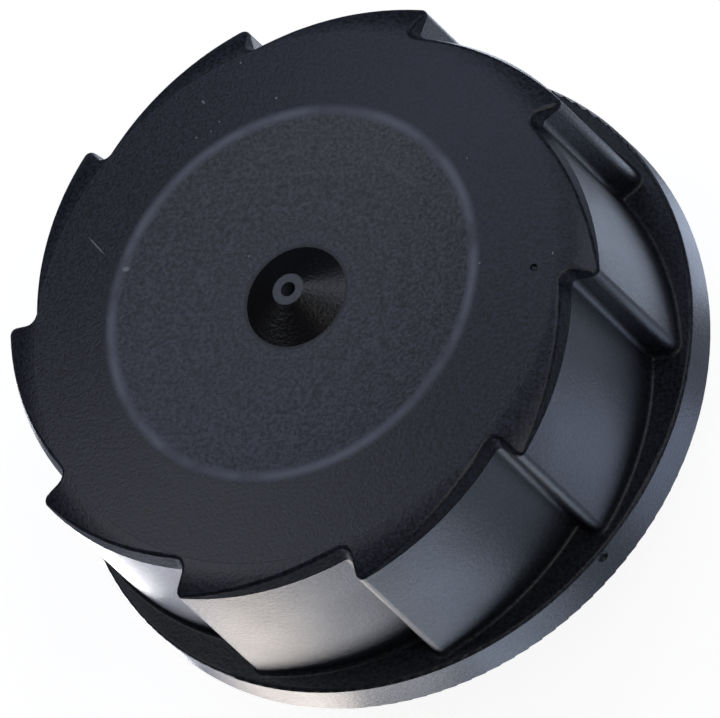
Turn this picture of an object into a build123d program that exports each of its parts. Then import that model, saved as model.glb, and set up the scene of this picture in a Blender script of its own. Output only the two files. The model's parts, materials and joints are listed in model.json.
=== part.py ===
from build123d import *
from math import asin, cos, radians, sin, sqrt
import os

# Vented screw cap for a vehicle's fuel filler neck.
# Millimetres. +Z runs out of the top of the cap along the axis of its thread, the origin is the
# centre of the underside, and one tooth of the grip points along +X.

# ---- Driving dimensions: outside of the cover ----
TOOTH_COUNT = 10
TOOTH_TIP_R = 33.2          # sharp corner of a tooth, before it is rounded
TOOTH_ROOT_R = 30.05        # sharp corner of a gullet, before it is rounded
STEEP_FLANK_DEG = 0.3       # angle that the steep side of a tooth takes up
TIP_ROUND = 0.8
ROOT_ROUND = 0.7
GRIP_DRAFT_DEG = 0.5
TOP_SLOPE_DEG = 22.0        # lean of the walls above the mould's parting line
TOP_SLOPE_HEIGHT = 1.7      # a little more than the domed top leaves of it in the gullets
TOP_EDGE_ROUND = 0.5
FOOT_ROUND = 0.5

FLANGE_R = 34.6
FLANGE_TOP_R = 34.5
FLANGE_EDGE_ROUND = 0.4
FLANGE_Z = 16.0             # underside of the flange
FLANGE_THICKNESS = 4.6
GRIP_HEIGHT = 18.6          # from the flange to the corners of the teeth

CROWN_R = 240.0             # the top is part of a large sphere
CROWN_RISE = 3.5            # its crown above the parting line at the corners of the teeth
ROLL_OFF_R = 29.0           # outside this radius the top rolls off more steeply
ROLL_OFF_ROUND = 9.0
ROLL_OFF_END_DEG = 48.6
DISH_R = 20.2
DISH_RIM_ROUND = 7.0
DISH_FLOOR_RISE = 1.5       # the dish's floor, beside the cone, above the corners of the teeth
CONE_BASE_R = 5.5
CONE_TOP_R = 1.72
CONE_TOP_RISE = 3.4
VENT_R = 0.8

# ---- Inside of the cover ----
WALL = 2.4
CAVITY_TOP_Z = 38.0
BEARING_R = 27.8            # the closure's disc turns in this bore
BEARING_TOP_Z = 23.4
SLEEVE_OUT_R = 25.6
SLEEVE_BOTTOM_Z = 23.1
RATCHET_COUNT = 24
RATCHET_ROOT_R = 23.7
RATCHET_TIP_R = 22.5
RATCHET_TOP_Z = 29.5
BOSS_OUT_R = 8.0
BOSS_BOTTOM_Z = 31.0
FILTER_R = 6.2
FILTER_TOP_Z = 36.2
FILTER_THICKNESS = 3.0
RIB_THICKNESS = 1.4
RIB_BOTTOM_Z = 34.0
RING_GROOVE_R = 29.2
RING_GROOVE_Z = (16.6, 18.2)
CORING_R = (30.9, 33.0)     # groove that thins the underside of the flange
CORING_DEPTH = 2.2
RETAINER_R = (26.4, 29.0)
RETAINER_Z = (16.7, 18.1)
RETAINER_GAP = 3.0
CLIP_THICKNESS = 0.8

# ---- Wear ----
PIT_R = 26.7
PIT_DEG = 1.4
PIT_SIZE = 0.4
NICK_DEG = -38.6
NICK_Z = 19.6
NICK_SIZE = 0.7

# ---- Closure, which screws into the neck ----
PLUG_R = 19.2
PILOT_R = 18.8
PILOT_TOP_Z = 4.4
PLUG_BORE_R = 16.8
PLUG_Z = 0.6
DISC_R = 27.6
DISC_Z = (19.0, 22.0)
DISC_LIP_R = 25.9           # a lip round the disc's underside keeps the gasket in place
DISC_LIP_Z = 18.4
SHOULDER_Z = 13.2
COLLAR_R = 14.5
COLLAR_BORE_R = 12.5
COLLAR_TOP_Z = 30.0
COLLAR_LIP_R = 11.4
THREAD_CREST_R = 20.9
THREAD_PITCH = 4.0
THREAD_TURNS = 2.0
THREAD_START_Z = 5.8
THREAD_FOOT = 2.3
THREAD_CREST = 0.9
GASKET_R = (19.5, 25.6)
GASKET_Z = 17.2
GASKET_BEAD = 1.6
WASHER_THICKNESS = 0.8

# ---- Ratchet ring ----
RATCHET_RING_Z = (22.2, 27.6)
RATCHET_HUB_R = 17.4
PAWL_ARM_R = 21.2
PAWL_ARM = 1.3
PAWL_ARM_DEG = 52.0
PAWL_TIP_DEG = 8.0
PAWL_CLEARANCE = 0.3
PAWL_CLEARANCE_DEG = 0.9
SPLINE_COUNT = 4
SPLINE_R = 15.7
SPLINE_WIDTH = 4.0

# ---- Valves ----
SEAT_Z = 16.0               # land that the pressure seal closes on
PLATE_Z = (16.5, 17.3)
PLATE_R = 9.6
STEM_R = 1.3
PRESSURE_LIFT = 2.0
VACUUM_DROP = 1.5
SPRING_CAP_Z = (27.3, 28.8)
BALL_R = 4.0
BALL_FLOOR_Z = 1.6
CAGE_TOP_Z = 9.4
GUARD_SLOTS = 8
SEAT_BASE_Z = 10.8
SEAT_RING_R = (13.6, 15.4)
SEAT_RING_DEPTH = 1.3
SEAT_CHAMBER_R = 6.6
LAND_R = (7.2, 7.9)
CAP_SKIRT_R = (8.6, 9.4)
CAP_HOLES_R = 10.9
CAP_HOLE_R = 0.9
PORTS_R = 3.6
PORT_R = 0.8
VACUUM_SEAL_R = 5.2
VACUUM_SEAL = 0.6
STEM_TOP_Z = 22.6
STEM_CLIP_Z = (21.5, 22.1)
NOZZLE_R = 2.8
NOZZLE_MOUTH_Z = 11.9

FLANGE_TOP_Z = FLANGE_Z + FLANGE_THICKNESS
TEETH_Z = FLANGE_TOP_Z + GRIP_HEIGHT
CROWN_Z = TEETH_Z + CROWN_RISE
CONE_TOP_Z = TEETH_Z + CONE_TOP_RISE
DISH_FLOOR_Z = TEETH_Z + DISH_FLOOR_RISE
TOOTH_PITCH_DEG = 360 / TOOTH_COUNT
RATCHET_PITCH_DEG = 360 / RATCHET_COUNT


# ---- Helpers ----
def polar(radius, angle):
    """Point at a radius and an angle in degrees about the cap's axis."""
    return (radius * cos(radians(angle)), radius * sin(radians(angle)))


def tube(r_in, r_out, z_low, z_high):
    """Plain ring about the cap's axis."""
    return Pos(0, 0, z_low) * extrude(Circle(r_out) - Circle(r_in), z_high - z_low)


def disc(radius, z_low, z_high):
    """Plain disc about the cap's axis."""
    return Pos(0, 0, z_low) * extrude(Circle(radius), z_high - z_low)


def turned(*outline):
    """Solid turned about the cap's axis from an outline of (radius, height) points."""
    return revolve(Plane.XZ * make_face(Polyline(*outline, close=True)), Axis.Z)


def crown_z(radius):
    """Height of the domed top at a radius."""
    return CROWN_Z - CROWN_R + sqrt(CROWN_R**2 - radius**2)


def spokes(count, width, r_in, r_out, z_low, z_high, first=0.0):
    """Radial bars of one width, evenly spaced, the first at an angle in degrees."""
    middle = (r_in + r_out) / 2
    bar = Box(r_out - r_in, width, z_high - z_low)
    places = [Rot(0, 0, first + 360 / count * k) for k in range(count)]
    return [place * Pos(middle, 0, (z_low + z_high) / 2) * bar for place in places]


def coil_spring(mean_r, wire_r, z_low, z_high, turns):
    """Compression spring whose two ends are ground flat."""
    height = z_high - z_low
    path = Helix(pitch=height / turns, height=height, radius=mean_r, center=(0, 0, z_low))
    section = Plane(origin=path @ 0, z_dir=path % 0) * Circle(wire_r)
    wire = sweep(section, path=path, is_frenet=True)
    return wire & disc(mean_r + 2 * wire_r, z_low, z_high)


# ---- Cover ----
def grip_outline():
    """Saw-tooth outline of the grip.

    Going round clockwise, seen from above, the wall swells to each tip and then steps in, so
    a finger catches on the steep sides when it unscrews the cap and slides when it screws it down.
    """
    edges = []
    for k in range(TOOTH_COUNT):
        tip_angle = k * TOOTH_PITCH_DEG
        root_angle = tip_angle + TOOTH_PITCH_DEG - STEEP_FLANK_DEG
        tip = polar(TOOTH_TIP_R, tip_angle)
        middle = polar((TOOTH_TIP_R + TOOTH_ROOT_R) / 2, (tip_angle + root_angle) / 2)
        root = polar(TOOTH_ROOT_R, root_angle)
        next_tip = polar(TOOTH_TIP_R, tip_angle + TOOTH_PITCH_DEG)
        edges += [ThreePointArc(tip, middle, root), Line(root, next_tip)]
    outline = make_face(Curve() + edges)
    tips = outline.vertices().filter_by(lambda v: v.center().length > TOOTH_TIP_R - 0.5)
    outline = fillet(tips, TIP_ROUND)
    roots = outline.vertices().filter_by(lambda v: v.center().length < TOOTH_ROOT_R + 0.1)
    return fillet(roots, ROOT_ROUND)


def top_form():
    """Everything under the domed top, with the dish and the vent cone let into it."""
    dish_middle_r = (DISH_R + CONE_BASE_R) / 2
    dish_middle_z = (crown_z(DISH_R) + DISH_FLOOR_Z) / 2 - 0.25
    start = asin(ROLL_OFF_R / CROWN_R)
    end = radians(ROLL_OFF_END_DEG)
    edge_r = ROLL_OFF_R + ROLL_OFF_ROUND * (sin(end) - sin(start))
    edge_z = crown_z(ROLL_OFF_R) - ROLL_OFF_ROUND * (cos(start) - cos(end))
    dome = ThreePointArc(
        (ROLL_OFF_R, crown_z(ROLL_OFF_R)),
        ((ROLL_OFF_R + DISH_R) / 2, crown_z((ROLL_OFF_R + DISH_R) / 2)),
        (DISH_R, crown_z(DISH_R)),
    )
    shoulder = TangentArc(dome @ 0, (edge_r, edge_z), tangent=(cos(start), -sin(start)))
    dish = ThreePointArc(dome @ 1, (dish_middle_r, dish_middle_z), (CONE_BASE_R, DISH_FLOOR_Z))
    cone = Polyline(dish @ 1, (CONE_TOP_R, CONE_TOP_Z), (0, CONE_TOP_Z))
    inside = Polyline(cone @ 1, (0, 0), (edge_r, 0), (edge_r, edge_z))
    section = make_face(Curve() + [shoulder, dome, dish, cone, inside])
    rim = section.vertices().sort_by_distance((DISH_R, crown_z(DISH_R)))[0]
    section = fillet(rim, DISH_RIM_ROUND)
    return revolve(Plane.XZ * section, Axis.Z)


def flange():
    """Round flange at the foot of the grip, cored from below so that it cools evenly."""
    body = turned((0, FLANGE_Z), (FLANGE_R, FLANGE_Z), (FLANGE_TOP_R, FLANGE_TOP_Z), (0, FLANGE_TOP_Z))
    rims = body.edges().filter_by(GeomType.CIRCLE)
    return fillet(rims, FLANGE_EDGE_ROUND)


def ratchet_outline():
    """Internal ratchet teeth: a steep side that unscrews the closure and a ramp that slips."""
    points = []
    for k in range(RATCHET_COUNT):
        angle = k * RATCHET_PITCH_DEG
        points += [polar(RATCHET_TIP_R, angle), polar(RATCHET_ROOT_R, angle)]
    return make_face(Polyline(*points, close=True))


def interior(outline):
    """Hollow inside of the cover: an even wall above, and the bearing bore and grooves below."""
    upper = Pos(0, 0, BEARING_TOP_Z) * extrude(offset(outline, -WALL), CAVITY_TOP_Z - BEARING_TOP_Z)
    bore = disc(BEARING_R, FLANGE_Z - 1, BEARING_TOP_Z)
    ring_groove = tube(BEARING_R - 1, RING_GROOVE_R, *RING_GROOVE_Z)
    coring = tube(*CORING_R, FLANGE_Z - 1, FLANGE_Z + CORING_DEPTH)
    return upper + bore + ring_groove + coring


def drive_sleeve():
    """Sleeve that hangs from the cover's top and carries the internal ratchet teeth."""
    toothed = Pos(0, 0, SLEEVE_BOTTOM_Z) * extrude(
        Circle(SLEEVE_OUT_R) - ratchet_outline(), RATCHET_TOP_Z - SLEEVE_BOTTOM_Z
    )
    return toothed + tube(RATCHET_TIP_R, SLEEVE_OUT_R, RATCHET_TOP_Z, CAVITY_TOP_Z + 0.5)


def filter_boss():
    """Boss under the vent hole with the pocket that the filter is pushed into."""
    return disc(BOSS_OUT_R, BOSS_BOTTOM_Z, CAVITY_TOP_Z + 0.5) - disc(FILTER_R, 0, FILTER_TOP_Z)


def grip():
    """Grip with a crisp parting line round the teeth, where the walls start to lean in to the top.

    The leaning band is tall in the gullets and fades towards the tips, because the top is domed.
    """
    outline = grip_outline()
    walls = extrude(outline, FLANGE_Z + 1 - TEETH_Z, taper=-GRIP_DRAFT_DEG)
    band = extrude(outline, TOP_SLOPE_HEIGHT, taper=TOP_SLOPE_DEG)
    body = Pos(0, 0, TEETH_Z) * (walls + band) + disc(ROLL_OFF_R + 0.2, TEETH_Z - 1, CROWN_Z + 1)
    body &= top_form()
    shoulder = body.faces().filter_by(GeomType.TORUS).sort_by(lambda f: f.area)[-1]
    return fillet(shoulder.edges().filter_by(GeomType.CIRCLE, reverse=True), TOP_EDGE_ROUND)


def cover():
    """One-piece moulded cover: grip, flange, dished top, drive sleeve and filter pocket."""
    outline = grip_outline()
    shell = grip() + flange()
    ledge = shell.faces().filter_by(Plane.XY).sort_by_distance((FLANGE_TOP_R, 0, FLANGE_TOP_Z))[0]
    shell = fillet(ledge.inner_wires()[0].edges(), FOOT_ROUND)
    shell -= interior(outline)
    shell += [drive_sleeve(), filter_boss()]
    rib_z = (RIB_BOTTOM_Z, CAVITY_TOP_Z + 0.5)
    shell += spokes(6, RIB_THICKNESS, BOSS_OUT_R - 0.5, RATCHET_TIP_R + 0.5, *rib_z)
    shell += spokes(
        TOOTH_COUNT, RIB_THICKNESS, SLEEVE_OUT_R - 0.5, TOOTH_ROOT_R - 1, *rib_z, TOOTH_PITCH_DEG / 2
    )
    shell -= disc(VENT_R, FILTER_TOP_Z - 1, CONE_TOP_Z + 1)
    return shell - wear_marks()


def wear_marks():
    """The pit in the top beside one tooth, and the nick in the edge of the flange."""
    pit = Pos(*polar(PIT_R, PIT_DEG), crown_z(PIT_R)) * Sphere(PIT_SIZE)
    nick = Pos(*polar(FLANGE_R + 0.15, NICK_DEG), NICK_Z) * Sphere(NICK_SIZE)
    return pit + nick


def retaining_ring():
    """Split ring in the cover's groove, which holds the closure's disc up."""
    ring = tube(RETAINER_R[0], RETAINER_R[1], *RETAINER_Z)
    return ring - Pos((RETAINER_R[0] + RETAINER_R[1]) / 2, 0, FLANGE_Z) * Box(5, RETAINER_GAP, 8)


def vent_filter():
    """Felt disc that keeps dust out of the vent."""
    return disc(FILTER_R - 0.1, FILTER_TOP_Z - FILTER_THICKNESS, FILTER_TOP_Z)


def filter_clip():
    """Push-in ring with a cross, which holds the filter in its pocket."""
    top = FILTER_TOP_Z - FILTER_THICKNESS
    cross = spokes(4, 1.2, 0, FILTER_R - 1, top - CLIP_THICKNESS, top)
    return tube(FILTER_R - 1.6, FILTER_R - 0.03, top - CLIP_THICKNESS, top) + cross


# ---- Closure ----
def male_thread():
    """Coarse thread of the plug, a helical ridge with a flat crest, sunk a little into the plug."""
    height = THREAD_PITCH * THREAD_TURNS
    sink = 0.4
    root_r = PLUG_R - sink
    path = Helix(pitch=THREAD_PITCH, height=height, radius=root_r, center=(0, 0, THREAD_START_Z))
    depth = THREAD_CREST_R - root_r
    foot = THREAD_FOOT / 2
    crest = THREAD_CREST / 2
    section = make_face(Polyline((0, -foot), (depth, -crest), (depth, crest), (0, foot), close=True))
    start = Plane(origin=path @ 0, x_dir=(1, 0, 0), z_dir=path % 0)
    return sweep(start * section, path=path, is_frenet=True)


def closure_body():
    """Threaded plug, gasket flange and splined collar, moulded in one."""
    body = turned(
        (PLUG_BORE_R, PLUG_Z),
        (PILOT_R - 0.8, PLUG_Z),
        (PILOT_R, PLUG_Z + 0.8),
        (PILOT_R, PILOT_TOP_Z),
        (PLUG_R, PILOT_TOP_Z),
        (PLUG_R, DISC_Z[0]),
        (DISC_LIP_R, DISC_Z[0]),
        (DISC_LIP_R, DISC_LIP_Z),
        (DISC_R, DISC_LIP_Z),
        (DISC_R, DISC_Z[1]),
        (COLLAR_R, DISC_Z[1]),
        (COLLAR_R, RATCHET_RING_Z[1] + 0.1),
        (COLLAR_R + 0.5, RATCHET_RING_Z[1] + 0.3),
        (COLLAR_R + 0.5, RATCHET_RING_Z[1] + 0.7),
        (COLLAR_R - 0.2, COLLAR_TOP_Z),
        (COLLAR_LIP_R, COLLAR_TOP_Z),
        (COLLAR_LIP_R, SPRING_CAP_Z[1]),
        (COLLAR_BORE_R, SPRING_CAP_Z[1]),
        (COLLAR_BORE_R, SHOULDER_Z),
        (PLUG_BORE_R, SHOULDER_Z),
    )
    spline_z = (DISC_Z[1] - 0.2, RATCHET_RING_Z[1] - 0.3)
    splines = spokes(SPLINE_COUNT, SPLINE_WIDTH, COLLAR_R - 0.5, SPLINE_R, *spline_z)
    return body + splines + male_thread()


def neck_gasket():
    """Flat nitrile ring with a raised bead that meets the rim of the filler neck."""
    middle = (GASKET_R[0] + GASKET_R[1]) / 2
    bead = GASKET_BEAD / 2
    return turned(
        (GASKET_R[0], GASKET_Z),
        (middle - bead - 0.4, GASKET_Z),
        (middle - bead, GASKET_Z - 0.4),
        (middle + bead, GASKET_Z - 0.4),
        (middle + bead + 0.4, GASKET_Z),
        (GASKET_R[1], GASKET_Z),
        (GASKET_R[1], DISC_Z[0]),
        (GASKET_R[0], DISC_Z[0]),
    )


def thrust_washer():
    """Slippery washer that the drive sleeve presses on while the ratchet slips."""
    return tube(RATCHET_ROOT_R + 0.2, DISC_R - 0.8, DISC_Z[1], DISC_Z[1] + WASHER_THICKNESS)


def pawl_finger():
    """One sprung finger: a long arc from the hub to a tip that stands in a ratchet valley."""
    inner = PAWL_ARM_R - PAWL_ARM / 2
    outer = PAWL_ARM_R + PAWL_ARM / 2
    root_r = RATCHET_HUB_R - 0.6
    tip_r = RATCHET_ROOT_R - PAWL_CLEARANCE
    tip_angle = PAWL_CLEARANCE_DEG
    heel_angle = tip_angle + PAWL_TIP_DEG
    root_angle = PAWL_ARM_DEG
    ramp_fall = (RATCHET_ROOT_R - RATCHET_TIP_R) * PAWL_TIP_DEG / RATCHET_PITCH_DEG
    inside = ThreePointArc(polar(inner, tip_angle), polar(inner, root_angle / 2), polar(inner, root_angle))
    to_hub = Polyline(
        inside @ 1,
        polar(root_r, root_angle),
        polar(root_r, root_angle + 14),
        polar(outer, root_angle + 6),
    )
    outside = ThreePointArc(
        to_hub @ 1, polar(outer, (root_angle + heel_angle) / 2), polar(outer, heel_angle + 2)
    )
    tip = Polyline(outside @ 1, polar(tip_r - ramp_fall, heel_angle), polar(tip_r, tip_angle), inside @ 0)
    return make_face(Curve() + [inside, to_hub, outside, tip])


def ratchet_ring():
    """Moulded ring of sprung pawls, keyed to the collar: it clicks round once the cap is tight."""
    hub = Circle(RATCHET_HUB_R) - Circle(COLLAR_R + 0.2)
    fingers = [Rot(0, 0, 360 / SPLINE_COUNT * k) * pawl_finger() for k in range(SPLINE_COUNT)]
    low, high = RATCHET_RING_Z
    ring = Pos(0, 0, low) * extrude(Sketch() + [hub, *fingers], high - low)
    keyways = spokes(SPLINE_COUNT, SPLINE_WIDTH + 0.3, COLLAR_R - 1, SPLINE_R + 0.2, low - 1, high + 1)
    return ring - keyways


def valve_seat():
    """Seat moulding: nozzle that the ball closes below, land that the pressure seal closes on above."""
    return turned(
        (NOZZLE_R, NOZZLE_MOUTH_Z),
        (NOZZLE_R + NOZZLE_MOUTH_Z - SEAT_BASE_Z, SEAT_BASE_Z),
        (PLUG_BORE_R - 0.1, SEAT_BASE_Z),
        (PLUG_BORE_R - 0.1, SHOULDER_Z),
        (SEAT_RING_R[1], SHOULDER_Z),
        (SEAT_RING_R[1], SHOULDER_Z - SEAT_RING_DEPTH),
        (SEAT_RING_R[0], SHOULDER_Z - SEAT_RING_DEPTH),
        (SEAT_RING_R[0], SHOULDER_Z),
        (COLLAR_BORE_R - 0.1, SHOULDER_Z),
        (COLLAR_BORE_R - 0.1, SHOULDER_Z + 1),
        (LAND_R[1] + 0.7, SHOULDER_Z + 1),
        (LAND_R[1], SEAT_Z),
        (LAND_R[0], SEAT_Z),
        (SEAT_CHAMBER_R, SEAT_Z - 0.5),
        (SEAT_CHAMBER_R, NOZZLE_MOUTH_Z + 0.6),
        (NOZZLE_R, NOZZLE_MOUTH_Z + 0.6),
    )


def seat_ring():
    """O-ring squeezed between the seat moulding and the plug's shoulder."""
    width = SEAT_RING_R[1] - SEAT_RING_R[0] - 0.1
    middle = Pos((SEAT_RING_R[0] + SEAT_RING_R[1]) / 2, SHOULDER_Z - SEAT_RING_DEPTH / 2)
    section = middle * RectangleRounded(width, SEAT_RING_DEPTH, SEAT_RING_DEPTH * 0.4)
    return revolve(Plane.XZ * section, Axis.Z)


def spring_cap():
    """Perforated cap that the pressure spring pushes against, with a skirt that centres it."""
    low, high = SPRING_CAP_Z
    cap = disc(COLLAR_BORE_R - 0.05, low, high) + tube(*CAP_SKIRT_R, low - 2, low)
    hole = Pos(CAP_HOLES_R, 0, 0) * disc(CAP_HOLE_R, low - 1, high + 1)
    holes = [Rot(0, 0, 60 * k) * hole for k in range(6)]
    return cap - holes - disc(COLLAR_LIP_R / 3, low - 1, high + 1)


def splash_guard():
    """Cup pressed into the mouth of the plug: slotted floor against slosh, and the ball's cage."""
    cup = disc(PLUG_BORE_R - 0.1, 0, SEAT_BASE_Z)
    cup -= tube(BALL_R + 1.6, PLUG_BORE_R - 1.5, BALL_FLOOR_Z, SEAT_BASE_Z + 1)
    cup -= disc(BALL_R + 0.4, BALL_FLOOR_Z, SEAT_BASE_Z + 1)
    cup -= disc(BALL_R + 2, CAGE_TOP_Z, SEAT_BASE_Z + 1)
    cup -= spokes(4, 2, BALL_R - 1, BALL_R + 3, BALL_FLOOR_Z + 1.6, SEAT_BASE_Z + 1)
    cup -= spokes(GUARD_SLOTS, 2.2, BALL_R + 3, PLUG_BORE_R - 2.6, -1, BALL_FLOOR_Z + 1)
    return cup


# ---- Valves ----
def pressure_plate():
    """Pressed plate of the pressure valve, with four guide tabs and the vacuum valve's ports."""
    low, high = PLATE_Z
    plate = disc(PLATE_R, low, high) + spokes(4, 3.0, 0, COLLAR_BORE_R - 0.35, low, high)
    port = Pos(PORTS_R, 0, 0) * disc(PORT_R, low - 1, high + 1)
    ports = [Rot(0, 0, 45 + 90 * k) * port for k in range(4)]
    return plate - ports - disc(STEM_R + 0.1, low - 1, high + 1)


def pressure_seal():
    """Nitrile ring bonded under the pressure plate."""
    return tube(VACUUM_SEAL_R + 0.4, PLATE_R - 0.2, SEAT_Z, PLATE_Z[0])


def pressure_spring():
    """Spring that keeps the pressure valve shut."""
    return coil_spring(7.6, 0.5, PLATE_Z[1], SPRING_CAP_Z[0], 4.5)


def vacuum_disc():
    """Turned disc and stem of the vacuum valve."""
    seal_bottom = PLATE_Z[0] - VACUUM_SEAL
    body = disc(VACUUM_SEAL_R - 0.2, seal_bottom - 0.8, seal_bottom)
    return body + disc(STEM_R, seal_bottom - 0.8, STEM_TOP_Z)


def vacuum_seal():
    """Nitrile washer on the vacuum disc, shut against the ports from below."""
    return tube(STEM_R + 0.05, VACUUM_SEAL_R, PLATE_Z[0] - VACUUM_SEAL, PLATE_Z[0])


def vacuum_spring():
    """Light spring round the stem that lifts the vacuum valve shut."""
    return coil_spring(2.3, 0.25, PLATE_Z[1], STEM_CLIP_Z[0], 4.5)


def stem_clip():
    """Push-on washer at the top of the stem, which the light spring bears on."""
    low, high = STEM_CLIP_Z
    return tube(STEM_R + 0.02, 3.2, low, high) + tube(STEM_R + 0.02, 2.0, high, high + 0.4)


def rollover_ball():
    """Steel ball that rolls onto the nozzle and shuts it when the vehicle tips over."""
    return Pos(0, 0, BALL_FLOOR_Z + BALL_R) * Sphere(BALL_R)


SUBPARTS = [
    cover,
    retaining_ring,
    vent_filter,
    filter_clip,
    closure_body,
    neck_gasket,
    thrust_washer,
    ratchet_ring,
    valve_seat,
    seat_ring,
    spring_cap,
    splash_guard,
    pressure_plate,
    pressure_seal,
    pressure_spring,
    vacuum_disc,
    vacuum_seal,
    vacuum_spring,
    stem_clip,
    rollover_ball,
]

if __name__ == "__main__":
    os.makedirs("parts", exist_ok=True)
    for make in SUBPARTS:
        export_step(make(), f"parts/{make.__name__}.step")
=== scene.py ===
import json
from math import cos, radians, sin

import bpy
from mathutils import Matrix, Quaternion, Vector


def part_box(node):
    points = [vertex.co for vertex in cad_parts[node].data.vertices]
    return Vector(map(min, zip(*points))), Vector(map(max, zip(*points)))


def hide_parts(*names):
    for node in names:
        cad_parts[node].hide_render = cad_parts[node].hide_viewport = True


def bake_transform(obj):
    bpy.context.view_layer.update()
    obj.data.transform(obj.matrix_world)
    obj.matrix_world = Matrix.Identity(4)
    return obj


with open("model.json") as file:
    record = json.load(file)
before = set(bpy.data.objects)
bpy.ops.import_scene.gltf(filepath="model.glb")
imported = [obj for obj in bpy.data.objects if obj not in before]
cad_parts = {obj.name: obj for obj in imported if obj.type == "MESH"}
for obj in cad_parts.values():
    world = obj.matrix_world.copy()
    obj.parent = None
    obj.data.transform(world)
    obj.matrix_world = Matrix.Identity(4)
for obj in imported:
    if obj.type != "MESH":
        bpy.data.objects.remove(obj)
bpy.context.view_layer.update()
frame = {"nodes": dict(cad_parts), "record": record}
MM = 0.001

# Heights and radii of the cover, in metres.
TOP_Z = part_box("cover")[1].z
TEETH_Z = TOP_Z - 3.4 * MM  # parting line, where the walls of the grip end
DISH_R = 20.2 * MM
CONE_R = 5.5 * MM
TIP_R = 1.72 * MM

# Dust on the top, one painted glint on the dish rim, and a fine score: radius and angle of each place,
# half the mark's length and half its width in millimetres, and the way it lies in degrees.
DUST_AND_GLINT = (
    (26.2, 120.3, 0.32, 0.12, -45),
    (22.6, 102.0, 0.14, 0.14, 0),
    (28.5, 109.8, 0.13, 0.13, 0),
    (22.8, 118.5, 0.10, 0.10, 0),
    (22.3, 121.5, 0.10, 0.10, 0),
    (22.8, 125.7, 0.14, 0.12, 0),
    (22.3, 36.5, 0.10, 0.10, 0),
    (28.6, 4.3, 0.20, 0.09, 80),
    (7.8, 139.9, 0.12, 0.12, 0),
    (31.0, -80.6, 0.16, 0.12, 0),
    (24.4, 162.3, 1.70, 0.08, -45),
    (32.8, -53.2, 0.14, 0.14, 0),
    (33.4, -45.3, 0.12, 0.12, 0),
    (19.8, 167.4, 0.42, 0.30, 0),
    # This last mark is a painted glint on the rim of the dish, not dust.
    (20.9, 3.8, 0.12, 0.12, 0),
)
SCORES = ((16.2, 25.9, 0.85, 0.09, -8),)

# Soft boxes round the cap: name, angle about it, height over the bench in degrees, side in metres,
# power in watts and colour.
SOFTBOXES = (
    ("left_softbox", 266, 57, 0.32, 0.85, "#f2f5ff"),
    ("back_softbox", 206, 50, 0.36, 0.64, "#d6e1ff"),
    ("right_softbox", 135, 50, 0.40, 0.85, "#e6edff"),
    ("front_softbox", 65, 50, 0.40, 0.90, "#ffffff"),
)
SOFTBOX_DISTANCE = 0.8
LIT_POINT = Vector((0, 0, 30)) * MM  # what the soft boxes face

# Light pads on the bench: place and side in millimetres, power in watts and colour.
PADS = (
    (-48, -48, 24, 0.0105, "#e9ebff"),
    (-41, -12, 24, 0.0260, "#ffffff"),
    (-21, -46, 24, 0.0130, "#fff5ec"),
    (0, -56, 20, 0.0072, "#fafaff"),
    (24, -48, 24, 0.0054, "#d7e6ff"),
    (51, -12, 24, 0.0032, "#cbdcff"),
    (36, 27, 20, 0.0031, "#d7e6ff"),
    (6, 58, 24, 0.0070, "#e6edff"),
    (-36, 46, 24, 0.0080, "#e6edff"),
    (-60, 14, 24, 0.0080, "#f2f5ff"),
)

# The bench lies a hair under the cap, so that their faces don't coincide. Its shine in the cap's
# gloss is strongest near the cap and falls off outwards.
BENCH_SIDE = 6.0
BENCH_Z = -0.05 * MM
SHINE_NEAR_R, SHINE_FAR_R = 60 * MM, 150 * MM
SHINE_NEAR, SHINE_FAR = 0.6, 0.02
WHITE_TO_CAMERA = 0.9
ROOM_LIGHT = 0.02

# Where the camera stands: angle about the cap, height over the bench and roll, in degrees.
VIEW_AZIMUTH = 47.99
VIEW_ELEVATION = 53.62
VIEW_ROLL = 46.85
VIEW_DISTANCE = 1.6652
VIEW_AIM = Vector((4.70, -4.46, 34.42)) * MM
LENS_MM = 828.5


def direction(azimuth, elevation):
    """Unit vector from the cap to a place; azimuth 0 is -Y and 90 is +X, in degrees."""
    a, e = radians(azimuth), radians(elevation)
    return Vector((sin(a) * cos(e), -cos(a) * cos(e), sin(e)))


# ---- Material helpers ----
SMOOTH = {"interpolation_type": "SMOOTHSTEP"}
COLOUR = {"data_type": "RGBA"}


def linear(hex_colour):
    """sRGB hex colour as linear RGBA."""
    channels = [int(hex_colour[i : i + 2], 16) / 255 for i in (1, 3, 5)]
    return tuple(c / 12.92 if c <= 0.04045 else ((c + 0.055) / 1.055) ** 2.4 for c in channels) + (1.0,)


def per_mm(size):
    """Texture scale that gives features of a size in millimetres."""
    return 1 / (size * MM)


def add(tree, kind, settings=None, **inputs):
    """Adds a node, with its properties as settings and its inputs by name.

    An input is a value, a socket or a node, whose first output it takes. A list fills the
    inputs that share one name, such as the two values of a Math node.
    """
    node = tree.nodes.new("ShaderNode" + kind)
    for name, value in (settings or {}).items():
        setattr(node, name, value)
    for name, value in inputs.items():
        sockets = [s for s in node.inputs if s.enabled and s.name == name.replace("_", " ")]
        for socket, item in zip(sockets, value if isinstance(value, list) else [value]):
            if isinstance(item, bpy.types.Node):
                item = next(s for s in item.outputs if s.enabled)
            if isinstance(item, bpy.types.NodeSocket):
                tree.links.new(item, socket)
            else:
                socket.default_value = item
    return node


def blank(name):
    """Empty node material, with its tree."""
    material = bpy.data.materials.new(name)
    material.use_nodes = True
    material.node_tree.nodes.clear()
    return material, material.node_tree


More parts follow.
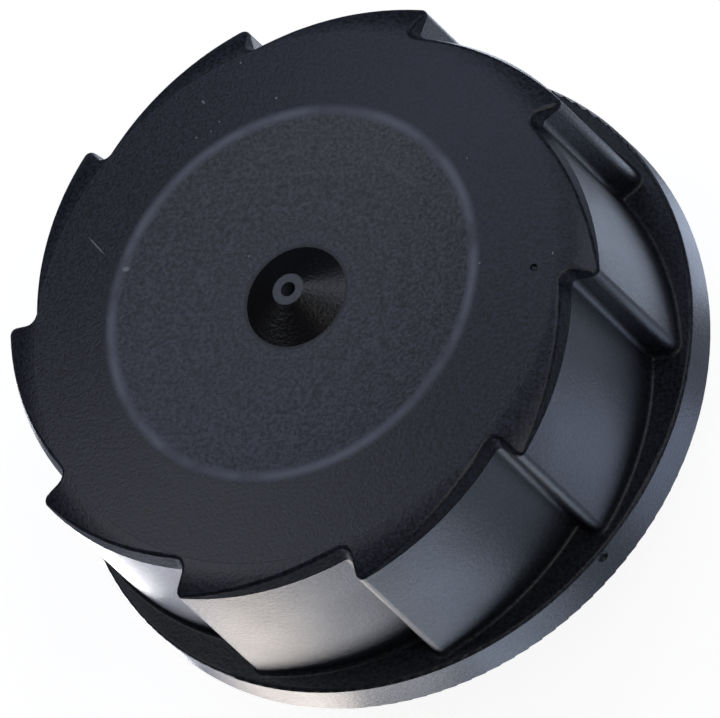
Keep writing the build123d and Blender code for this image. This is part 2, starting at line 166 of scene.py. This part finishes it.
# ---- Materials ----
def marks(tree, flat, places):
    """Mask of small marks, from a place with its height left out."""
    mask = 0.0
    for radius, angle, half_length, half_width, turn in places:
        x = radius * cos(radians(angle)) * MM
        y = radius * sin(radians(angle)) * MM
        own = add(
            tree,
            "Mapping",
            {"vector_type": "TEXTURE"},
            Vector=flat,
            Location=(x, y, 0),
            Rotation=(0, 0, radians(turn)),
            Scale=(half_length * MM, half_width * MM, 1),
        )
        reach = add(tree, "VectorMath", {"operation": "LENGTH"}, Vector=own)
        spot = add(
            tree, "MapRange", SMOOTH, Value=reach, From_Min=0.5, From_Max=1.2, To_Min=1, To_Max=0
        )
        mask = add(tree, "Math", {"operation": "MAXIMUM"}, Value=[mask, spot])
    return mask


def moulded_nylon():
    """Black glass-filled nylon from a spark-eroded mould.

    The dished middle has a coarse mottled grain, the ring round it a fine one, and the cone and the
    sides of the teeth come from smoother steel, so they shine more. Both grains are drawn several
    times coarser than real ones, which would be too fine to show. The rim of the dish is paler grey
    in an uneven ring, and handling has rubbed the tip of the cone grey.
    """
    material, tree = blank("spark_eroded_black_nylon")
    place = add(tree, "TexCoord").outputs["Object"]
    axes = add(tree, "SeparateXYZ", Vector=place).outputs
    flat = add(tree, "VectorMath", {"operation": "MULTIPLY"}, Vector=[place, (1, 1, 0)])
    radius = add(tree, "VectorMath", {"operation": "LENGTH"}, Vector=flat)
    on_top = add(
        tree,
        "MapRange",
        SMOOTH,
        Value=axes["Z"],
        From_Min=TEETH_Z - 0.1 * MM,
        From_Max=TEETH_Z + 0.3 * MM,
    )
    in_dish = add(
        tree,
        "MapRange",
        SMOOTH,
        Value=radius,
        From_Min=DISH_R - 0.6 * MM,
        From_Max=DISH_R,
        To_Min=1,
        To_Max=0,
    )
    off_cone = add(
        tree,
        "MapRange",
        SMOOTH,
        Value=radius,
        From_Min=CONE_R - 0.1 * MM,
        From_Max=CONE_R + 0.5 * MM,
    )
    dish = add(tree, "Math", {"operation": "MULTIPLY"}, Value=[in_dish, off_cone])
    grained = add(tree, "Math", {"operation": "MULTIPLY"}, Value=[on_top, off_cone])
    from_rim = add(tree, "Math", {"operation": "SUBTRACT"}, Value=[radius, DISH_R])
    near_rim = add(tree, "Math", {"operation": "ABSOLUTE"}, Value=from_rim)
    rim = add(
        tree, "MapRange", SMOOTH, Value=near_rim, From_Min=0, From_Max=0.9 * MM, To_Min=1, To_Max=0
    )
    tip = add(
        tree,
        "MapRange",
        SMOOTH,
        Value=radius,
        From_Min=TIP_R - 0.15 * MM,
        From_Max=TIP_R + 0.1 * MM,
        To_Min=1,
        To_Max=0,
    )

    fine = add(tree, "TexNoise", Vector=place, Scale=per_mm(0.36), Detail=3.0, Roughness=0.6)
    coarse = add(tree, "TexNoise", Vector=place, Scale=per_mm(0.42), Detail=4.0, Roughness=0.75)
    cloudy = add(tree, "TexNoise", Vector=place, Scale=per_mm(7.0), Detail=3.0)
    out = add(tree, "CombineXYZ", X=radius)
    rings = add(tree, "TexNoise", Vector=out, Scale=per_mm(1.2), Detail=3.0, Roughness=0.6)
    angle = add(tree, "Math", {"operation": "ARCTAN2"}, Value=[axes["Y"], axes["X"]])
    round_axis = add(tree, "CombineXYZ", X=angle)
    streaks = add(tree, "TexNoise", Vector=round_axis, Scale=30.0, Detail=2.0)

    fine_grey = add(tree, "MapRange", SMOOTH, Value=fine, From_Min=0.3, From_Max=0.7)
    ring_colour = add(tree, "Mix", COLOUR, Factor=fine_grey, A=linear("#050609"), B=linear("#2d3040"))
    coarse_grey = add(tree, "MapRange", SMOOTH, Value=coarse, From_Min=0.3, From_Max=0.7)
    dish_colour = add(tree, "Mix", COLOUR, Factor=coarse_grey, A=linear("#121319"), B=linear("#50525f"))
    soft_light = {**COLOUR, "blend_type": "SOFT_LIGHT"}
    turned = add(tree, "Mix", soft_light, Factor=0.5, A=dish_colour, B=rings)
    top_colour = add(tree, "Mix", COLOUR, Factor=dish, A=ring_colour, B=turned)
    uneven = add(tree, "MapRange", SMOOTH, Value=cloudy, From_Min=0.3, From_Max=0.6, To_Min=0.35)
    # Paler grey ring along the rim of the dish, uneven along its length.
    pale_rim_amount = add(tree, "Math", {"operation": "MULTIPLY"}, Value=[rim, uneven])
    pale_rim_colour = add(tree, "Mix", COLOUR, Factor=pale_rim_amount, A=top_colour, B=linear("#666a78"))
    scores = marks(tree, flat, SCORES)
    scored = add(tree, "Mix", COLOUR, Factor=scores, A=pale_rim_colour, B=linear("#08080a"))
    # Pale dust marks, one of which is a painted glint on the dish rim.
    dust_and_glint = marks(tree, flat, DUST_AND_GLINT)
    dusty_and_glinting = add(tree, "Mix", COLOUR, Factor=dust_and_glint, A=scored, B=linear("#8a8b90"))
    wall_colour = add(tree, "Mix", COLOUR, Factor=fine_grey, A=linear("#030406"), B=linear("#2c2f3a"))
    bare_colour = add(tree, "Mix", COLOUR, Factor=on_top, A=wall_colour, B=linear("#08080b"))
    body_colour = add(tree, "Mix", COLOUR, Factor=grained, A=bare_colour, B=dusty_and_glinting)
    colour = add(tree, "Mix", COLOUR, Factor=tip, A=body_colour, B=linear("#4a4d54"))

    fine_relief = add(tree, "Bump", Height=fine, Strength=0.9, Distance=0.05 * MM)
    coarse_relief = add(
        tree, "Bump", Height=coarse, Strength=dish, Distance=0.035 * MM, Normal=fine_relief
    )
    wall_shine = add(tree, "MapRange", Value=cloudy, To_Min=0.38, To_Max=0.5)
    top_shine = add(tree, "MapRange", Value=fine, To_Min=0.28, To_Max=0.50)
    cone_shine = add(tree, "MapRange", Value=streaks, To_Min=0.22, To_Max=0.36)
    under_top = add(tree, "Mix", Factor=on_top, A=wall_shine, B=cone_shine)
    shine = add(tree, "Mix", Factor=grained, A=under_top, B=top_shine)
    nylon = add(
        tree, "BsdfPrincipled", Base_Color=colour, Roughness=shine, IOR=1.53, Normal=coarse_relief
    )
    add(tree, "OutputMaterial", Surface=nylon)
    return material


def black_acetal():
    """Black acetal, moulded in a polished tool: an even satin gloss with faint cloudy flow."""
    material, tree = blank("moulded_black_acetal")
    place = add(tree, "TexCoord").outputs["Object"]
    flow = add(tree, "TexNoise", Vector=place, Scale=per_mm(5.0), Detail=4.0, Distortion=0.6)
    grain = add(tree, "TexNoise", Vector=place, Scale=per_mm(0.25), Detail=2.0)
    colour = add(tree, "Mix", COLOUR, Factor=flow, A=linear("#141416"), B=linear("#222327"))
    relief = add(tree, "Bump", Height=grain, Strength=0.2, Distance=0.01 * MM)
    shine = add(tree, "MapRange", Value=flow, To_Min=0.22, To_Max=0.38)
    acetal = add(tree, "BsdfPrincipled", Base_Color=colour, Roughness=shine, IOR=1.48, Normal=relief)
    add(tree, "OutputMaterial", Surface=acetal)
    return material


def natural_acetal():
    """Undyed acetal: milky ivory, a little see-through at thin edges, with a soft gloss."""
    material, tree = blank("moulded_natural_acetal")
    place = add(tree, "TexCoord").outputs["Object"]
    flow = add(tree, "TexNoise", Vector=place, Scale=per_mm(4.0), Detail=4.0, Distortion=0.8)
    grain = add(tree, "TexNoise", Vector=place, Scale=per_mm(0.3), Detail=2.0)
    colour = add(tree, "Mix", COLOUR, Factor=flow, A=linear("#dcd8c8"), B=linear("#ebe8dd"))
    relief = add(tree, "Bump", Height=grain, Strength=0.15, Distance=0.01 * MM)
    shine = add(tree, "MapRange", Value=flow, To_Min=0.28, To_Max=0.42)
    acetal = add(
        tree,
        "BsdfPrincipled",
        Base_Color=colour,
        Roughness=shine,
        IOR=1.48,
        Normal=relief,
        Subsurface_Weight=0.3,
        Subsurface_Scale=1.0 * MM,
        Subsurface_Radius=(1.0, 0.9, 0.7),
    )
    add(tree, "OutputMaterial", Surface=acetal)
    return material


def nitrile():
    """Nitrile rubber, pressed in a matt mould: near black and dull, with a pale bloom in places."""
    material, tree = blank("pressed_nitrile_rubber")
    place = add(tree, "TexCoord").outputs["Object"]
    bloom = add(tree, "TexNoise", Vector=place, Scale=per_mm(3.0), Detail=5.0, Roughness=0.65)
    grain = add(tree, "TexNoise", Vector=place, Scale=per_mm(0.15), Detail=2.0)
    patches = add(tree, "MapRange", SMOOTH, Value=bloom, From_Min=0.45, From_Max=0.75)
    colour = add(tree, "Mix", COLOUR, Factor=patches, A=linear("#18181a"), B=linear("#2e2e30"))
    relief = add(tree, "Bump", Height=grain, Strength=0.4, Distance=0.02 * MM)
    shine = add(tree, "MapRange", Value=bloom, To_Min=0.55, To_Max=0.75)
    rubber = add(tree, "BsdfPrincipled", Base_Color=colour, Roughness=shine, IOR=1.52, Normal=relief)
    add(tree, "OutputMaterial", Surface=rubber)
    return material


def felt():
    """Pressed wool felt: warm grey, with tangled fibres that show as streaks and a soft fuzz."""
    material, tree = blank("pressed_grey_felt")
    place = add(tree, "TexCoord").outputs["Object"]
    stretched = add(tree, "Mapping", Vector=place, Scale=(1, 0.25, 1))
    fibres = add(tree, "TexNoise", Vector=stretched, Scale=per_mm(0.12), Detail=4.0, Distortion=1.5)
    colour = add(tree, "Mix", COLOUR, Factor=fibres, A=linear("#8d887e"), B=linear("#c4bfb3"))
    relief = add(tree, "Bump", Height=fibres, Strength=0.8, Distance=0.08 * MM)
    wool = add(
        tree,
        "BsdfPrincipled",
        Base_Color=colour,
        Roughness=0.95,
        Normal=relief,
        Sheen_Weight=0.4,
        Sheen_Roughness=0.5,
    )
    add(tree, "OutputMaterial", Surface=wool)
    return material


def brass():
    """Brass pressed from sheet and tumbled: warm yellow, with short random scuffs and dull patches."""
    material, tree = blank("pressed_tumbled_brass")
    place = add(tree, "TexCoord").outputs["Object"]
    patches = add(tree, "TexNoise", Vector=place, Scale=per_mm(2.5), Detail=4.0)
    scuffs = add(tree, "TexNoise", Vector=place, Scale=per_mm(0.2), Detail=4.0, Distortion=2.0)
    colour = add(tree, "Mix", COLOUR, Factor=patches, A=linear("#b8924f"), B=linear("#d9b871"))
    relief = add(tree, "Bump", Height=scuffs, Strength=0.25, Distance=0.01 * MM)
    shine = add(tree, "MapRange", Value=patches, To_Min=0.2, To_Max=0.4)
    metal = add(tree, "BsdfPrincipled", Base_Color=colour, Metallic=1.0, Roughness=shine, Normal=relief)
    add(tree, "OutputMaterial", Surface=metal)
    return material


def spring_steel():
    """Drawn stainless spring wire: bright grey, with fine lines and a few dull stretches."""
    material, tree = blank("drawn_stainless_wire")
    place = add(tree, "TexCoord").outputs["Object"]
    flattened = add(tree, "Mapping", Vector=place, Scale=(0.15, 0.15, 1))
    lines = add(tree, "TexNoise", Vector=flattened, Scale=per_mm(0.1), Detail=3.0)
    dull = add(tree, "TexNoise", Vector=place, Scale=per_mm(3.0), Detail=2.0)
    colour = add(tree, "Mix", COLOUR, Factor=dull, A=linear("#a3a5a8"), B=linear("#c9cbce"))
    relief = add(tree, "Bump", Height=lines, Strength=0.2, Distance=0.005 * MM)
    shine = add(tree, "MapRange", Value=dull, To_Min=0.18, To_Max=0.34)
    metal = add(tree, "BsdfPrincipled", Base_Color=colour, Metallic=1.0, Roughness=shine, Normal=relief)
    add(tree, "OutputMaterial", Surface=metal)
    return material


def ball_steel():
    """Lapped bearing ball: bright steel with hair-fine swirls from lapping."""
    material, tree = blank("lapped_bearing_steel")
    place = add(tree, "TexCoord").outputs["Object"]
    swirls = add(tree, "TexNoise", Vector=place, Scale=per_mm(0.4), Detail=4.0, Distortion=3.0)
    colour = add(tree, "Mix", COLOUR, Factor=swirls, A=linear("#b4b6b9"), B=linear("#cfd1d3"))
    shine = add(tree, "MapRange", Value=swirls, To_Min=0.06, To_Max=0.16)
    metal = add(tree, "BsdfPrincipled", Base_Color=colour, Metallic=1.0, Roughness=shine)
    add(tree, "OutputMaterial", Surface=metal)
    return material


FINISHES = {
    "cover_nylon": moulded_nylon(),
    "closure_acetal": black_acetal(),
    "natural_acetal": natural_acetal(),
    "nitrile": nitrile(),
    "felt": felt(),
    "brass": brass(),
    "spring_steel": spring_steel(),
    "ball_steel": ball_steel(),
}


def dress():
    """Gives each node of the frame the finish of its own material slot."""
    for part in frame["record"]["subparts"]:
        slots = frame["nodes"][part["node"]].data.materials
        slots.clear()
        slots.append(FINISHES[part["material_slot"]])


dress()


# ---- Springs ----
def squeezed(spring):
    """Copy of a spring, with its doubled points merged and smooth shading, shown in place of the hidden
    spring.
    """
    solid = frame["nodes"][spring]
    coil = bpy.data.objects.new(spring + "_coil", solid.data.copy())
    bpy.context.scene.collection.objects.link(coil)
    bpy.ops.object.select_all(action="DESELECT")
    coil.select_set(True)
    bpy.context.view_layer.objects.active = coil
    bpy.ops.object.mode_set(mode="EDIT")
    bpy.ops.mesh.select_all(action="SELECT")
    bpy.ops.mesh.remove_doubles(threshold=0.0005 * MM)
    bpy.ops.object.mode_set(mode="OBJECT")
    bpy.ops.object.shade_smooth_by_angle(angle=radians(40))
    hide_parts(spring)
    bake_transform(coil)


squeezed("pressure_spring")
squeezed("vacuum_spring")


# ---- Bench, light and camera ----
def bench():
    """White bench: white to the camera, and it still takes the cap's shadow.

    From below it is clear, so that the underside can be looked at.
    """
    bpy.ops.mesh.primitive_plane_add(size=BENCH_SIDE, location=(0, 0, BENCH_Z))
    floor = bpy.context.object
    floor.name = "bench"
    material, tree = blank("white_bench")
    place = add(tree, "TexCoord").outputs["Object"]
    radius = add(tree, "VectorMath", {"operation": "LENGTH"}, Vector=place)
    near = add(
        tree,
        "MapRange",
        SMOOTH,
        Value=radius,
        From_Min=SHINE_NEAR_R,
        From_Max=SHINE_FAR_R,
        To_Min=SHINE_NEAR,
        To_Max=SHINE_FAR,
    )
    rays = add(tree, "LightPath").outputs
    glossy = rays["Is Glossy Ray"]
    seen = add(tree, "Mix", Factor=rays["Is Camera Ray"], A=0.0, B=WHITE_TO_CAMERA)
    glow = add(tree, "Mix", Factor=glossy, A=seen, B=near)
    tint = add(tree, "Mix", COLOUR, Factor=glossy, A=linear("#ffffff"), B=linear("#d9e6ff"))
    paint = add(tree, "BsdfDiffuse", Color=linear("#a0a0a0"))
    light = add(tree, "Emission", Color=tint, Strength=glow)
    both = add(tree, "AddShader", Shader=[paint, light])
    under = add(tree, "NewGeometry").outputs["Backfacing"]
    clear = add(tree, "Math", {"operation": "MULTIPLY"}, Value=[rays["Is Camera Ray"], under])
    pane = add(tree, "BsdfTransparent")
    surface = add(tree, "MixShader", Fac=clear, Shader=[both, pane])
    add(tree, "OutputMaterial", Surface=surface)
    floor.data.materials.append(material)


def lamp(name, place, towards, side, watts, colour, seen):
    """Square soft light at a place, shining in a direction."""
    data = bpy.data.lights.new(name, "AREA")
    data.shape = "RECTANGLE"
    data.size = data.size_y = side
    data.energy = watts
    data.color = linear(colour)[:3]
    light = bpy.data.objects.new(name, data)
    bpy.context.scene.collection.objects.link(light)
    light.location = place
    light.rotation_euler = (-Vector(towards)).to_track_quat("Z", "Y").to_euler()
    light.visible_camera = seen


def softbox(name, azimuth, elevation, side, watts, colour):
    """Soft light that faces the cap from a direction."""
    towards = direction(azimuth, elevation)
    lamp(name, LIT_POINT + towards * SOFTBOX_DISTANCE, -towards, side, watts, colour, seen=True)


def pad(name, x, y, side, watts, colour):
    """Light pad that lies on the bench beside the cap and shines up at its sides."""
    lamp(name, Vector((x, y, 1)) * MM, (0, 0, 1), side * MM, watts, colour, seen=False)


def surroundings():
    """Dim even light from all round, white to the camera."""
    world = bpy.data.worlds.new("studio")
    bpy.context.scene.world = world
    world.use_nodes = True
    tree = world.node_tree
    tree.nodes.clear()
    rays = add(tree, "LightPath").outputs
    strength = add(tree, "Mix", Factor=rays["Is Camera Ray"], A=ROOM_LIGHT, B=1.0)
    light = add(tree, "Background", Color=(1, 1, 1, 1), Strength=strength)
    add(tree, "OutputWorld", Surface=light)


def camera():
    """Camera at the view's angle, rolled about its own axis."""
    data = bpy.data.cameras.new("camera")
    data.lens = LENS_MM
    data.clip_end = 10
    view = bpy.data.objects.new("camera", data)
    bpy.context.scene.collection.objects.link(view)
    towards = direction(VIEW_AZIMUTH, VIEW_ELEVATION)
    turn = towards.to_track_quat("Z", "Y") @ Quaternion((0, 0, 1), -radians(VIEW_ROLL))
    view.location = VIEW_AIM + towards * VIEW_DISTANCE
    view.rotation_euler = turn.to_euler()
    bpy.context.scene.camera = view


bench()
surroundings()
for box in SOFTBOXES:
    softbox(*box)
for k, place in enumerate(PADS):
    pad(f"pad_{k + 1}", *place)
camera()
bpy.context.scene.view_settings.view_transform = "Standard"
